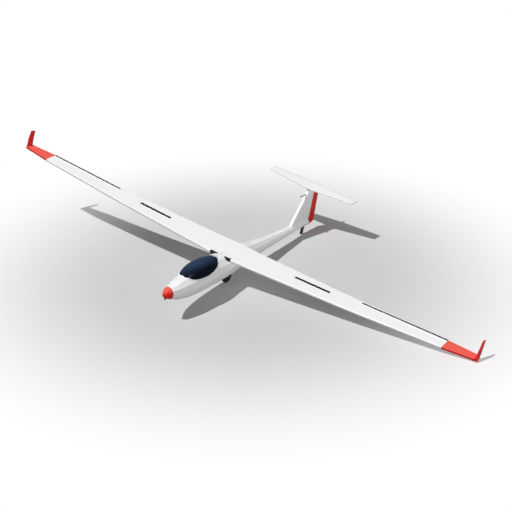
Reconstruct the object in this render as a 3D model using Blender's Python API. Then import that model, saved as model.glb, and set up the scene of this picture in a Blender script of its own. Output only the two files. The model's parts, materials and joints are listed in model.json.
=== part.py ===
"""Single seat sailplane, parked leaning on its port wing tip."""
import math

import bmesh
import bpy
import numpy as np
from mathutils import Matrix, Vector

# Everything is built level in metres with both wheels on z = 0, nose to -Y,
# port wing to +X, and then leaned over on its port tip skid by the stand.
GAP = 0.0003
SWING = 0.010
SIDES = 12
WIDTH_RATIO = 0.85

# Fuselage: station y, centre z, half height, height below and above the centre
POD = (
    ("y", "zc", "half", "keel", "crown"),
    (-2.90, 0.880, 0.035, 0.035, 0.035), (-2.86, 0.877, 0.088, 0.088, 0.088),
    (-2.78, 0.872, 0.142, 0.142, 0.142), (-2.685, 0.862, 0.188, 0.184, 0.188),
    (-2.40, 0.826, 0.290, 0.272, 0.290), (-2.00, 0.797, 0.365, 0.346, 0.365),
    (-1.50, 0.780, 0.405, 0.398, 0.405), (-1.00, 0.772, 0.418, 0.424, 0.418),
    (-0.80, 0.768, 0.417, 0.436, 0.396), (-0.66, 0.765, 0.416, 0.446, 0.370),
    (-0.46, 0.757, 0.408, 0.452, 0.348), (-0.20, 0.745, 0.396, 0.450, 0.336),
    (0.20, 0.718, 0.364, 0.405, 0.332), (0.60, 0.668, 0.322, 0.318, 0.322),
    (1.00, 0.612, 0.276, 0.246, 0.276), (1.60, 0.552, 0.222, 0.190, 0.222),
    (2.20, 0.496, 0.182, 0.152, 0.182), (3.00, 0.438, 0.142, 0.120, 0.142),
    (4.035, 0.352, 0.100, 0.080, 0.100),
)
NOSE_SPLIT = -2.685
COCKPIT_END = -0.66
POD_END = 0.90
BOOM_END = 4.025
WALL = 0.020

# Canopy ellipsoid: centre y, centre z, half axes and nose-up tilt
CAN_Y = -1.368
CAN_Z = 1.001
CAN_A = 0.841
CAN_B = 0.318
CAN_C = 0.285
CAN_TILT = -0.0663
GLASS_T = 0.006
FRAME_T = 0.024
HINGE_Y = -2.190
HINGE_Z = 1.125

# Wing: station x, leading edge y, trailing edge y, z of its flat top, thickness
WING = (
    ("x", "le", "te", "z", "t"),
    (0.000, -0.490, 0.432, 1.068, 0.100), (0.300, -0.482, 0.412, 1.076, 0.098),
    (1.070, -0.460, 0.362, 1.096, 0.092), (4.050, -0.328, 0.255, 1.176, 0.086),
    (6.580, -0.185, 0.206, 1.264, 0.086), (7.440, -0.080, 0.156, 1.292, 0.088),
)
NOSE_TOP = 0.022
NOSE_DROP = 0.026
NOSE_LOW = 0.045
NOSE_STEPS = (0.004, 0.012, 0.022)
LOW_STEPS = (0.006, 0.020, 0.045)
CHORD_STEPS = (0.30, 0.50, 0.75, 1.0)
EDGE_T = 0.004
ROOT_X = 0.300
VENT_X = (0.080, 0.335)
TIP_X = 6.580
END_X = 7.440

# Winglet: inner x, outer x, leading edge y and z, trailing edge y and z
WINGLET = (
    ("xi", "xo", "le", "z_le", "te", "z_te"),
    (7.432, 7.526, -0.062, 1.212, 0.170, 1.236), (7.444, 7.520, -0.030, 1.320, 0.190, 1.330),
    (7.460, 7.510, 0.020, 1.530, 0.235, 1.520), (7.468, 7.502, 0.118, 1.744, 0.288, 1.700),
)

# Aileron bay, hinge y at its inner and outer end
AIL_IN = 4.070
AIL_OUT = 6.5797
AIL_HINGE = ((4.070, 0.146), (6.580, 0.112))

# Airbrake slot
BRAKE_X = (2.097, 3.185)
BRAKE_Y = 0.029
BRAKE_W = 0.072
BRAKE_H = 0.038

# Tail
FIN_LE = ((0.36, 2.918), (1.467, 3.781), (1.575, 3.861))
FIN_SIDE = ((0.000, 0.0375), (0.007, 0.0436))
FIN_AFT = 0.0226
FIN_TAPER = 0.150
HINGE_LINE = ((0.400, 4.062), (1.540, 4.140))
TAIL_Z = 1.585
ELEV_Y = 4.095
PLANE_SIDE = ((0.000, 0.013), (0.003, 0.0165), (0.008, 0.0175))
PLANE_AFT = 0.0175

# Wheels: radius, half width, centre y, centre z
MAIN_R = 0.180
MAIN_W = 0.050
TAIL_R = 0.074
TAIL_W = 0.022
TAIL_Y = 3.815

# Tip skid bottom
SKID_X = 7.400
SKID_Z = 1.166

# Finish: base colour, roughness, metallic
COLOURS = {
    "white": ((0.86, 0.86, 0.86), 0.25, 0.0),
    "red": ((0.78, 0.10, 0.07), 0.30, 0.0),
    "dark": ((0.028, 0.034, 0.044), 0.45, 0.0),
    "glass": ((0.020, 0.036, 0.065), 0.05, 0.0),
    "black": ((0.012, 0.012, 0.014), 0.80, 0.0),
    "steel": ((0.45, 0.46, 0.48), 0.35, 1.0),
    "cloth": ((0.16, 0.17, 0.20), 0.90, 0.0),
    "grey": ((0.40, 0.41, 0.43), 0.60, 0.0),
}


def clear_scene():
    for ob in list(bpy.data.objects):
        bpy.data.objects.remove(ob, do_unlink=True)


def material(name, finish):
    colour, rough, metal = COLOURS[finish]
    mat = bpy.data.materials.new(name)
    mat.use_nodes = True
    node = mat.node_tree.nodes["Principled BSDF"]
    node.inputs["Base Color"].default_value = (*colour, 1.0)
    node.inputs["Roughness"].default_value = rough
    node.inputs["Metallic"].default_value = metal
    return mat


clear_scene()
PARTS = bpy.data.collections.new("sailplane")
CUTTERS = bpy.data.collections.new("cutters")
bpy.context.scene.collection.children.link(PARTS)
bpy.context.scene.collection.children.link(CUTTERS)
STAND = bpy.data.objects.new("stand", None)
PARTS.objects.link(STAND)


def finish_mesh(bm, name):
    bmesh.ops.recalc_face_normals(bm, faces=bm.faces[:])
    mesh = bpy.data.meshes.new(name)
    bm.to_mesh(mesh)
    bm.free()
    return mesh


def node(name, bm, finish, origin=(0, 0, 0), smooth=0):
    """A visible piece with its origin set, hung on the stand."""
    bmesh.ops.translate(bm, verts=bm.verts[:], vec=-Vector(origin))
    mesh = finish_mesh(bm, name)
    mesh.materials.append(material(name, finish))
    ob = bpy.data.objects.new(name, mesh)
    ob.location = origin
    ob.parent = STAND
    PARTS.objects.link(ob)
    if smooth:
        for poly in mesh.polygons:
            poly.use_smooth = True
        mesh.set_sharp_from_angle(angle=math.radians(smooth))
    return ob


def cutter(name, bm):
    mesh = finish_mesh(bm, name)
    ob = bpy.data.objects.new(name, mesh)
    ob.parent = STAND
    ob.hide_render = True
    ob.display_type = "WIRE"
    CUTTERS.objects.link(ob)
    return ob


def cut(ob, tool, operation="DIFFERENCE"):
    mod = ob.modifiers.new("cut " + tool.name, "BOOLEAN")
    mod.operation = operation
    mod.solver = "EXACT"
    mod.object = tool


def loft(rings):
    """Solid through rings of equal length with flat ends."""
    bm = bmesh.new()
    rows = [[bm.verts.new(p) for p in ring] for ring in rings]
    count = len(rows[0])
    for a, b in zip(rows, rows[1:]):
        for i in range(count):
            j = (i + 1) % count
            bm.faces.new((a[i], a[j], b[j], b[i]))
    bm.faces.new(rows[0])
    bm.faces.new(rows[-1])
    return bm


def box(x, y, z):
    bm = bmesh.new()
    size = Vector((x[1] - x[0], y[1] - y[0], z[1] - z[0]))
    mid = Vector((x[0] + x[1], y[0] + y[1], z[0] + z[1])) / 2
    place = Matrix.Translation(mid) @ Matrix.Diagonal((*size, 1.0))
    bmesh.ops.create_cube(bm, size=1.0, matrix=place)
    return bm


def rod(a, b, radius, sides=16, end=None):
    a, b = Vector(a), Vector(b)
    turn = (b - a).to_track_quat("Z", "Y").to_matrix().to_4x4()
    bm = bmesh.new()
    bmesh.ops.create_cone(
        bm, cap_ends=True, segments=sides, radius1=radius,
        radius2=radius if end is None else end, depth=(b - a).length,
        matrix=Matrix.Translation((a + b) / 2) @ turn)
    return bm


def ellipsoid(centre, axes, grow=0.0, u=40, v=20):
    bm = bmesh.new()
    scale = Matrix.Diagonal((axes[0] + grow, axes[2] + grow, axes[1] + grow, 1.0))
    turn = Matrix.Rotation(math.radians(90) + CAN_TILT, 4, "X")
    place = Matrix.Translation(centre) @ turn @ scale
    bmesh.ops.create_uvsphere(bm, u_segments=u, v_segments=v, radius=1.0, matrix=place)
    return bm


def pod_at(y):
    table = np.array(POD[1:])
    return [float(np.interp(y, table[:, 0], table[:, k])) for k in (1, 2, 3, 4)]


def pod_ring(y, grow=0.0):
    zc, half, keel, crown = pod_at(y)
    w = WIDTH_RATIO * half + grow
    ring = []
    for i in range(SIDES):
        a = 2 * math.pi * i / SIDES
        h = (crown if math.cos(a) > 0 else keel) + grow
        ring.append(Vector((w * math.sin(a), y, zc + h * math.cos(a))))
    return ring


def pod_loft(y0, y1, grow=0.0):
    inner = [row[0] for row in POD[1:] if y0 + 0.01 < row[0] < y1 - 0.01]
    return loft([pod_ring(y, grow) for y in (y0, *inner, y1)])


def wing_at(x):
    table = np.array(WING[1:])
    return [float(np.interp(abs(x), table[:, 0], table[:, k])) for k in range(1, 5)]


def upper(x, d):
    """Height of the wing's top at a distance behind the leading edge."""
    z = wing_at(x)[2]
    if d >= NOSE_TOP:
        return z
    return z - NOSE_DROP * (1 - math.sqrt(1 - (1 - d / NOSE_TOP) ** 2))


def lower(x, d):
    """Height of the wing's underside at a distance behind the leading edge."""
    le, te, z, t = wing_at(x)
    if d < NOSE_LOW:
        return z - NOSE_DROP - (t - NOSE_DROP) * math.sqrt(1 - (1 - d / NOSE_LOW) ** 2)
    aft = max(0.0, (d / (te - le) - 0.30) / 0.70)
    return z - t + (t - EDGE_T) * aft ** 1.3


def section(x, grow=0.0):
    """Closed wing ring at span x, from the trailing edge over the top."""
    le, te, _, _ = wing_at(x)
    chord = te - le
    ring = [Vector((x, le + d, upper(x, d) + grow))
            for d in [s * chord for s in reversed(CHORD_STEPS)] + list(reversed(NOSE_STEPS))]
    ring.append(Vector((x, le - grow, upper(x, 0.0))))
    ring += [Vector((x, le + d, lower(x, d) - grow))
             for d in list(LOW_STEPS) + [s * chord for s in CHORD_STEPS]]
    return ring


def wing_loft(x0, x1):
    inner = [row[0] for row in WING[1:] if x0 + 0.01 < row[0] < x1 - 0.01]
    return loft([section(x) for x in (x0, *inner, x1)])


def mirror(bm, side):
    if side < 0:
        bmesh.ops.scale(bm, verts=bm.verts[:], vec=(-1, 1, 1))
    return bm


def flip(point, side):
    return Vector((point[0] * side, point[1], point[2]))


def at_y(x, y):
    """Mean z and half thickness of the wing at a place in plan."""
    d = y - wing_at(x)[0]
    return (upper(x, d) + lower(x, d)) / 2, (upper(x, d) - lower(x, d)) / 2


def slab(a, b, low, high, z0, z1):
    """Four sided prism in plan between two y ranges at two spans."""
    ring = [(a, low[0]), (b, low[1]), (b, high[1]), (a, high[0])]
    return loft([[Vector((x, y, z0)) for x, y in ring], [Vector((x, y, z1)) for x, y in ring]])


def hinge_y(x):
    (xa, ya), (xb, yb) = AIL_HINGE
    return ya + (yb - ya) * (x - xa) / (xb - xa)


def blunt(nose, tail, radius, up, edge=0.002, turns=8):
    """Control surface ring: round nose about a hinge, tapering to its edge."""
    nose, tail, up = Vector(nose), Vector(tail), Vector(up)
    ahead = (nose - tail).normalized()
    ring = [tail + up * edge]
    for i in range(turns + 1):
        a = math.pi * i / turns
        ring.append(nose + up * radius * math.cos(a) + ahead * radius * math.sin(a))
    ring.append(tail - up * edge)
    return ring


def winglet_ring(xi, xo, le, z_le, te, z_te):
    """Winglet ring with a blunt leading edge and a thin trailing edge."""
    w = xo - xi
    plan = ((xi + 0.2 * w, le), (xo - 0.2 * w, le), (xo, le + 0.022),
            (xi + 0.6 * w, te), (xi + 0.4 * w, te), (xi, le + 0.022))
    return [Vector((x, y, z_le + (z_te - z_le) * (y - le) / (te - le))) for x, y in plan]


def placed(bm, where, along, aft):
    """Turn a shape so that its X runs along a hinge and its Y points aft."""
    along = Vector(along).normalized()
    across = along.cross(Vector(aft)).normalized()
    turn = Matrix((along, across.cross(along), across)).transposed().to_4x4()
    bmesh.ops.transform(bm, verts=bm.verts[:], matrix=Matrix.Translation(where) @ turn)
    return bm


def hinge_lug(tag, fixed, moving, where, along, reach, pin):
    """Lug with a cross pin on the fixed piece, in a slot with bores in the moving one."""
    aft = (0, 1, 0)
    size = 2.2 * pin
    slot = placed(box((-0.008, 0.008), (-0.06, size + 0.006), (-0.06, 0.06)), where, along, aft)
    bores = placed(rod((-0.019, 0, 0), (0.019, 0, 0), pin + GAP, 12), where, along, aft)
    lug = placed(box((-0.004, 0.004), (-reach, size), (-size, size)), where, along, aft)
    pins = placed(rod((-0.016, 0, 0), (0.016, 0, 0), pin, 12), where, along, aft)
    cut(moving, cutter("slot_" + tag, slot))
    cut(moving, cutter("bore_" + tag, bores))
    cut(fixed, cutter("lug_" + tag, lug), "UNION")
    cut(fixed, cutter("pin_" + tag, pins), "UNION")


def spun(profile, centre, sides):
    """Closed profile of (radius, x) turned about the wheel axle."""
    bm = bmesh.new()
    rows = []
    for i in range(sides):
        a = 2 * math.pi * i / sides
        rows.append([bm.verts.new((x, centre[0] + r * math.sin(a), centre[1] + r * math.cos(a)))
                     for r, x in profile])
    for i in range(sides):
        a, b = rows[i], rows[(i + 1) % sides]
        for k in range(len(profile)):
            m = (k + 1) % len(profile)
            bm.faces.new((a[k], a[m], b[m], b[k]))
    return bm


# Cutting shapes of the fuselage and canopy
pod_grown = cutter("pod_grown", pod_loft(-2.60, 0.30, 0.012 + GAP))
pod_skin = cutter("pod_skin", pod_loft(-2.90, BOOM_END, GAP))
pod_under = cutter("pod_under", pod_loft(-2.60, 0.30, -0.026))
centre = (0.0, CAN_Y, CAN_Z)
axes = (CAN_B, CAN_A, CAN_C)
can_cut = cutter("canopy_clearance", ellipsoid(centre, axes, SWING))
cut(can_cut, cutter("canopy_reach", box((-0.5, 0.5), (-2.5, -0.677), (0.5, 1.5))), "INTERSECT")
can_out = cutter("canopy_outside", ellipsoid(centre, axes, 0.0))
can_glass = cutter("canopy_glass_inside", ellipsoid(centre, axes, -GLASS_T))
can_frame = cutter("canopy_frame_inside", ellipsoid(centre, axes, -FRAME_T))

# Nose
cap = node("nose_cap", pod_loft(-2.90, NOSE_SPLIT - GAP), "red")
pitot = node("pitot_probe", rod((0, -2.66, 0.728), (0, -2.838, 0.738), 0.018, 14), "dark", smooth=40)
cut(pitot, pod_skin)

# Cockpit shell with its hollow, canopy opening and end walls
shell = node("cockpit_shell", pod_loft(NOSE_SPLIT, COCKPIT_END), "white")
inside = cutter("cockpit_inside", pod_loft(NOSE_SPLIT + 0.03, COCKPIT_END - 0.025, -WALL))
cut(shell, inside)
cut(shell, can_cut)

# Canopy glass and its frame, both lifted about the front hinge
hinge = (0.0, HINGE_Y, HINGE_Z)
glass = node("canopy", ellipsoid(centre, axes, 0.0), "glass", hinge, 30)
cut(glass, can_glass)
cut(glass, pod_grown)
frame = node("canopy_frame", pod_loft(-2.45, -0.690, 0.012), "dark", hinge)
cut(frame, pod_under)
cut(frame, can_out, "INTERSECT")
cut(frame, can_frame)

arm_slot = cutter("canopy_arm_slot", box((-0.0135, 0.0135), (-2.204, -2.15), (1.08, 1.17)))
arm_z = (HINGE_Z - 0.008, HINGE_Z + 0.006)
arm = cutter("canopy_arm", box((-0.009, 0.009), (HINGE_Y - 0.007, -2.150), arm_z))
arm_bore = cutter("canopy_arm_bore", rod((-0.02, HINGE_Y, HINGE_Z), (0.02, HINGE_Y, HINGE_Z), 0.0043, 12))
arm_pin = cutter("canopy_pin", rod((-0.028, HINGE_Y, HINGE_Z), (0.028, HINGE_Y, HINGE_Z), 0.004, 12))
relief = cutter("canopy_front_relief", box((-0.042, 0.042), (-2.1845, -2.15), (1.08, 1.17)))
cut(shell, relief)
cut(shell, arm_slot)
cut(shell, arm_pin, "UNION")
cut(frame, arm, "UNION")
cut(frame, arm_bore)

# Cockpit fittings
pan = node("seat_pan", loft([
    [Vector((s * 0.20, y, z)) for s, y, z in
     ((-1, -1.72, 0.56), (1, -1.72, 0.56), (1, -1.72, 0.50), (-1, -1.72, 0.50))],
    [Vector((s * 0.21, y, z)) for s, y, z in
     ((-1, -1.34, 0.50), (1, -1.34, 0.50), (1, -1.34, 0.44), (-1, -1.34, 0.44))],
    [Vector((s * 0.21, y, z)) for s, y, z in
     ((-1, -1.22, 0.54), (1, -1.22, 0.54), (1, -1.14, 0.50), (-1, -1.14, 0.50))],
    [Vector((s * 0.16, y, z)) for s, y, z in
     ((-1, -0.86, 1.00), (1, -0.86, 1.00), (1, -0.80, 0.98), (-1, -0.80, 0.98))],
]), "grey")
cushion = node("seat_cushion", loft([
    [Vector((s * 0.17, y, z)) for s, y, z in
     ((-1, -1.70, 0.60), (1, -1.70, 0.60), (1, -1.70, 0.561), (-1, -1.70, 0.561))],
    [Vector((s * 0.18, y, z)) for s, y, z in
     ((-1, -1.36, 0.555), (1, -1.36, 0.555), (1, -1.345, 0.5015), (-1, -1.345, 0.5015))],
    [Vector((s * 0.18, y, z)) for s, y, z in
     ((-1, -1.27, 0.59), (1, -1.27, 0.59), (1, -1.225, 0.5415), (-1, -1.225, 0.5415))],
    [Vector((s * 0.14, y, z)) for s, y, z in
     ((-1, -0.935, 0.97), (1, -0.935, 0.97), (1, -0.885, 0.97), (-1, -0.885, 0.97))],
]), "cloth")
head = node("headrest", box((-0.10, 0.10), (-0.80 + GAP, -0.72), (0.96, 1.08)), "cloth")
panel = node("instrument_panel", box((-0.15, 0.15), (-2.02, -1.97), (0.78, 1.04)), "dark")
stalk = cutter("panel_stalk", box((-0.05, 0.05), (-2.00, -1.98), (0.46, 0.79)))
cut(panel, stalk, "UNION")
stick = node("control_stick", rod((0, -1.80, 0.425), (0, -1.76, 0.80), 0.014, 12), "dark", smooth=40)
pedals = node("rudder_pedals", box((-0.15, 0.15), (-2.26, -2.235), (0.62, 0.78)), "steel")
slot = cutter("pedal_slot", box((-0.04, 0.04), (-2.30, -2.20), (0.66, 0.79)))
cut(pedals, slot)
foot = cutter("pedal_post", box((-0.03, 0.03), (-2.258, -2.238), (0.50, 0.64)))
cut(pedals, foot, "UNION")
room = cutter("cockpit_room", pod_loft(NOSE_SPLIT + 0.031, COCKPIT_END - 0.0255, -WALL - 0.0005))
for piece in (pan, panel, stick, pedals, head):
    cut(piece, room, "INTERSECT")

# Middle fuselage with the wing roots and the wheel well
body = node("centre_fuselage", pod_loft(COCKPIT_END + GAP, POD_END), "white")
roots = cutter("wing_roots", loft([section(x) for x in (-ROOT_X, 0.0, ROOT_X)]))
well = cutter("wheel_well", box((-0.100, 0.100), (-0.215, 0.215), (0.20, 0.440)))
cut(body, roots, "UNION")
cut(body, well)
boom = node("tail_boom", pod_loft(POD_END + GAP, BOOM_END), "white")

# Dark outlets in the leading edge at each wing root
pod_shoulder = cutter("pod_shoulder", pod_loft(COCKPIT_END, 0.20, 5 * GAP))
for side, label in ((1, "port"), (-1, "starboard")):
    rings = []
    for x in VENT_X:
        le, _, z, _ = wing_at(x)
        rings.append([Vector((x, le - 0.010, z - 0.014)), Vector((x, le + 0.010, z + 0.004)),
                      Vector((x, le + 0.060, z + 0.004)), Vector((x, le + 0.060, z - 0.066)),
                      Vector((x, le - 0.010, z - 0.066))])
    vent = node("root_vent_" + label, mirror(loft(rings), side), "dark")
    grown = cutter("root_top_" + label, mirror(loft(
        [section(x, 4 * GAP) for x in (0.0, ROOT_X, 0.45)]), side))
    cut(vent, grown)
    cut(vent, pod_shoulder)

# Wings
for side, label in ((1, "port"), (-1, "starboard")):
    wing = node("wing_panel_" + label, mirror(wing_loft(ROOT_X + GAP, TIP_X), side), "white",
                smooth=25)
    mean_in, half_in = at_y(AIL_IN, hinge_y(AIL_IN))
    mean_out, half_out = at_y(AIL_OUT, hinge_y(AIL_OUT))
    bay = cutter("aileron_bay_" + label, mirror(slab(
        AIL_IN, TIP_X + 0.1, (hinge_y(AIL_IN) - half_in - 0.005, hinge_y(TIP_X + 0.1) - half_out - 0.005),
        (0.5, 0.5), 1.0, 1.5), side))
    cut(wing, bay)
    x0, x1 = BRAKE_X
    floor = (at_y(x0, BRAKE_Y)[0] + at_y(x0, BRAKE_Y)[1] - BRAKE_H - 0.008,
             at_y(x1, BRAKE_Y)[0] + at_y(x1, BRAKE_Y)[1] - BRAKE_H - 0.008)
    w = BRAKE_W / 2 + 0.005
    pocket = cutter("airbrake_pocket_" + label, mirror(loft([
        [Vector((x, y, z)) for y, z in
         ((BRAKE_Y - w, f), (BRAKE_Y + w, f), (BRAKE_Y + w, f + 0.2), (BRAKE_Y - w, f + 0.2))]
        for x, f in ((x0 - 0.005, floor[0]), (x1 + 0.005, floor[1]))]), side))
    cut(wing, pocket)
    w = BRAKE_W / 2
    rise = BRAKE_H + 0.014
    blade_org = flip(((x0 + x1) / 2, BRAKE_Y, at_y(2.64, BRAKE_Y)[0]), side)
    blade = node("airbrake_" + label, mirror(loft([
        [Vector((x, y, z)) for y, z in
         ((BRAKE_Y - w, f + 0.005), (BRAKE_Y + w, f + 0.005), (BRAKE_Y + w, f + rise),
          (BRAKE_Y - w, f + rise + 0.001))]
        for x, f in ((x0, floor[0]), (x1, floor[1]))]), side), "dark", blade_org)
    for end, x, f in (("in", x0, floor[0]), ("out", x1, floor[1])):
        near, far = (x - 0.0047, x + 0.02) if end == "in" else (x - 0.02, x + 0.0047)
        runner = cutter("brake_runner_%s_%s" % (end, label), mirror(
            box((near, far), (BRAKE_Y - 0.006, BRAKE_Y + 0.006), (f + 0.006, f + 0.030)), side))
        cut(blade, runner, "UNION")

    rings = []
    for x in (AIL_IN + 0.005, AIL_OUT - 0.005):
        y = hinge_y(x)
        mean, half = at_y(x, y)
        te = wing_at(x)[1]
        rings.append(blunt((x, y, mean), (x, te, wing_at(x)[2]), half, (0, 0, 1)))
    xm = (AIL_IN + AIL_OUT) / 2
    org = flip((xm, hinge_y(xm), (mean_in + mean_out) / 2), side)
    flap = node("aileron_" + label, mirror(loft(rings), side), "white", org, 25)
    pin_in = Vector((AIL_IN, hinge_y(AIL_IN), mean_in))
    pin_out = Vector((AIL_OUT, hinge_y(AIL_OUT), mean_out))
    along = (pin_out - pin_in).normalized()
    ends = (("in", pin_in - along * 0.02, pin_in + along * 0.02),
            ("out", pin_out - along * 0.02, pin_out + along * 0.02))
    for end, a, b in ends:
        cut(flap, cutter("aileron_bore_%s_%s" % (end, label), mirror(
            rod(a - along * 0.003, b + along * 0.003, 0.0033, 12), side)))
    strip = []
    for x, y in ((AIL_IN + 0.006, 0.187), (AIL_OUT - 0.006, 0.190)):
        te = wing_at(x)[1]
        h = hinge_y(x)
        mean, half = at_y(x, h)
        lean = (y - h) / (te - h)
        z = (mean + half) * (1 - lean) + (wing_at(x)[2] + 0.002) * lean
        slope = ((wing_at(x)[2] + 0.002) - (mean + half)) / (te - h)
        corners = ((-0.014, GAP), (0.014, GAP), (0.014, 0.008), (-0.014, 0.008))
        strip.append([Vector((x, y + back, z + back * slope + up)) for back, up in corners])
    node("aileron_strip_" + label, mirror(loft(strip), side), "dark", org)

    tip = node("wing_tip_" + label, mirror(loft([section(TIP_X + GAP), section(END_X)]), side), "red",
               smooth=25)
    for (end, a, b), fixed in zip(ends, (wing, tip)):
        cut(fixed, cutter("aileron_pin_%s_%s" % (end, label), mirror(rod(a, b, 0.003, 12), side)), "UNION")
    winglet = mirror(loft([winglet_ring(*row) for row in WINGLET[1:]]), side)
    fin_tip = node("winglet_" + label, winglet, "red", smooth=25)
    inner = cutter("winglet_inner_" + label, mirror(box((6.9, END_X + GAP), (-0.4, 0.5), (1.0, 1.9)), side))
    cut(fin_tip, inner)
    skid = node("tip_skid_" + label, mirror(loft([
        [Vector((x, y, z)) for x, y in ((SKID_X - 0.012, -0.02), (SKID_X + 0.012, -0.02),
                                        (SKID_X + 0.012, 0.13), (SKID_X - 0.012, 0.13))]
        for z in (SKID_Z, 1.30)]), side), "dark")
    under = cutter("tip_under_" + label, mirror(loft([
        section(7.30, GAP), section(7.4399, GAP)]), side))
    over = cutter("tip_over_" + label, mirror(box((7.2, 7.6), (-0.2, 0.4), (1.286, 1.6)), side))
    cut(skid, over)
    cut(skid, under)

# Fin, rudder, tailplane and elevator
(z0, y0), (z1, y1) = HINGE_LINE


def rudder_y(z):
    return y0 + (y1 - y0) * (z - z0) / (z1 - z0)


RUD_R = 0.020
fin_rings = []
for z, y in FIN_LE:
    aft = rudder_y(z) - RUD_R - 0.005
    half = [(y + back, x) for back, x in FIN_SIDE]
    half += [(aft - FIN_TAPER, FIN_SIDE[-1][1]), (aft, FIN_AFT)]
    ring = [Vector((x, at, z)) for at, x in reversed(half)]
    ring += [Vector((-x, at, z)) for at, x in half]
    fin_rings.append(ring)
fin = node("fin", loft(fin_rings), "white", smooth=25)
cut(fin, pod_skin)

lo, hi = 0.230, 1.492
rudder_rings = []
for z, te in ((0.230, 4.385), (0.290, 4.418), (lo + 0.6, 4.424), (hi, 4.432)):
    y = rudder_y(z)
    front_r = RUD_R if z > 0.29 else 0.020
    rudder_rings.append(blunt((0, y, z), (0, te, z), front_r, (1, 0, 0)))
mid_z = (lo + hi) / 2
rudder = node("rudder", loft(rudder_rings), "red", (0, rudder_y(mid_z), mid_z), 25)
rudder_axis = Vector((0, y1 - y0, z1 - z0))
for tag, z in (("rudder_low", 0.56), ("rudder_high", 1.30)):
    hinge_lug(tag, fin, rudder, (0, rudder_y(z), z), rudder_axis, 0.036, 0.004)

plane_rings = []
for x, le in ((-1.43, 3.885), (-1.375, 3.868), (0.0, 3.705), (1.375, 3.868), (1.43, 3.885)):
    aft = ELEV_Y - 0.017 - 0.005
    half = [(le + back, up) for back, up in PLANE_SIDE] + [(aft, PLANE_AFT)]
    ring = [Vector((x, y, TAIL_Z + up)) for y, up in reversed(half)]
    ring += [Vector((x, y, TAIL_Z - up)) for y, up in half]
    plane_rings.append(ring)
tailplane = node("tailplane", loft(plane_rings), "white", smooth=25)
top = cutter("tailplane_room", loft([[p + Vector((0, 0, math.copysign(GAP, p.z - TAIL_Z))) for p in ring]
                                     for ring in plane_rings[1:-1]]))
cut(fin, top)
lid = cutter("fin_step", box((-0.2, 0.2), (4.048, 4.4), (1.532, TAIL_Z + 0.1)))
cut(fin, lid)
elevator = []
for x, te in ((-1.445, 4.188), (0.0, 4.236), (1.445, 4.188)):
    r = 0.0145 if abs(x) > 1 else 0.017
    elevator.append(blunt((x, ELEV_Y, TAIL_Z), (x, te, TAIL_Z), r, (0, 0, 1)))
flap = node("elevator", loft(elevator), "white", (0, ELEV_Y, TAIL_Z), 25)
for tag, x in (("elevator_port", 0.75), ("elevator_starboard", -0.75)):
    hinge_lug(tag, tailplane, flap, (x, ELEV_Y, TAIL_Z), (1, 0, 0), 0.032, 0.003)
probe = node("tail_probe", rod((0, 3.395, 1.424), (0, 3.79, 1.363), 0.012, 12), "dark", smooth=40)
socket = cutter("probe_socket", rod((0, 3.395, 1.424), (0, 3.7905, 1.363), 0.0123, 12))
cut(fin, socket)

# Main wheel, axle and its two dark legs
profile = [(0.110, -0.034), (0.140, -0.050), (0.166, -0.042), (0.177, -0.022), (MAIN_R, 0.0),
           (0.177, 0.022), (0.166, 0.042), (0.140, 0.050), (0.110, 0.034)]
where = (0.0, MAIN_R)
node("main_tyre", spun(profile, where, 40), "black", (0, 0, MAIN_R), 35)
rim = [(0.0143, -0.046), (0.060, -0.046), (0.070, -0.030), (0.1097, -0.033),
       (0.1097, 0.033), (0.070, 0.030), (0.060, 0.046), (0.0143, 0.046)]
node("main_hub", spun(rim, where, 40), "steel", (0, 0, MAIN_R), 35)
axle = node("main_axle", rod((-0.084, 0, MAIN_R), (0.084, 0, MAIN_R), 0.014, 20), "steel", smooth=40)
for side, label in ((1, "port"), (-1, "starboard")):
    leg = node("main_leg_" + label, mirror(loft([
        [Vector((x, -0.055, 0.135)), Vector((x, 0.055, 0.135)), Vector((x, 0.150, 0.34)),
         Vector((x, 0.150, 0.44 - GAP)), Vector((x, -0.150, 0.44 - GAP)), Vector((x, -0.150, 0.34))]
        for x in (0.060, 0.078)]), side), "dark")
    bore = cutter("leg_bore_" + label, rod((side * 0.04, 0, MAIN_R), (side * 0.10, 0, MAIN_R), 0.0143, 20))
    cut(leg, bore)

# Tail wheel
leg = node("tail_leg", loft([
    [Vector((x, y, z)) for x, y in ((-0.034, TAIL_Y + a), (0.034, TAIL_Y + a), (0.034, TAIL_Y + b),
                                    (-0.034, TAIL_Y + b))]
    for a, b, z in ((-0.020, 0.022, 0.058), (-0.022, 0.045, 0.165), (0.0, 0.13, 0.40))]), "dark")
fork = cutter("fork_slot", box((-0.0265, 0.0265), (TAIL_Y - 0.2, TAIL_Y + 0.2), (0.0, 0.158)))
hole = cutter("fork_bore", rod((-0.06, TAIL_Y, TAIL_R), (0.06, TAIL_Y, TAIL_R), 0.0083, 16))
cut(leg, fork)
cut(leg, hole)
cut(leg, pod_skin)
where = (TAIL_Y, TAIL_R)
profile = [(0.040, -0.015), (0.056, -TAIL_W), (0.070, -0.014), (TAIL_R, 0.0), (0.070, 0.014),
           (0.056, TAIL_W), (0.040, 0.015)]
node("tail_tyre", spun(profile, where, 24), "black", (0, TAIL_Y, TAIL_R), 35)
rim = [(0.0083, -0.018), (0.028, -0.018), (0.0397, -0.0145), (0.0397, 0.0145), (0.028, 0.018),
       (0.0083, 0.018)]
node("tail_hub", spun(rim, where, 24), "steel", (0, TAIL_Y, TAIL_R), 35)
node("tail_axle", rod((-0.040, TAIL_Y, TAIL_R), (0.040, TAIL_Y, TAIL_R), 0.008, 16), "steel", smooth=40)

# Tow hook under the belly
hook = node("tow_hook", box((-0.020, 0.020), (-0.52, -0.40), (0.266, 0.42)), "steel")
notch = cutter("hook_notch", box((-0.03, 0.03), (-0.480, -0.455), (0.25, 0.286)))
cut(hook, notch)
cut(hook, pod_skin)

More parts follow.
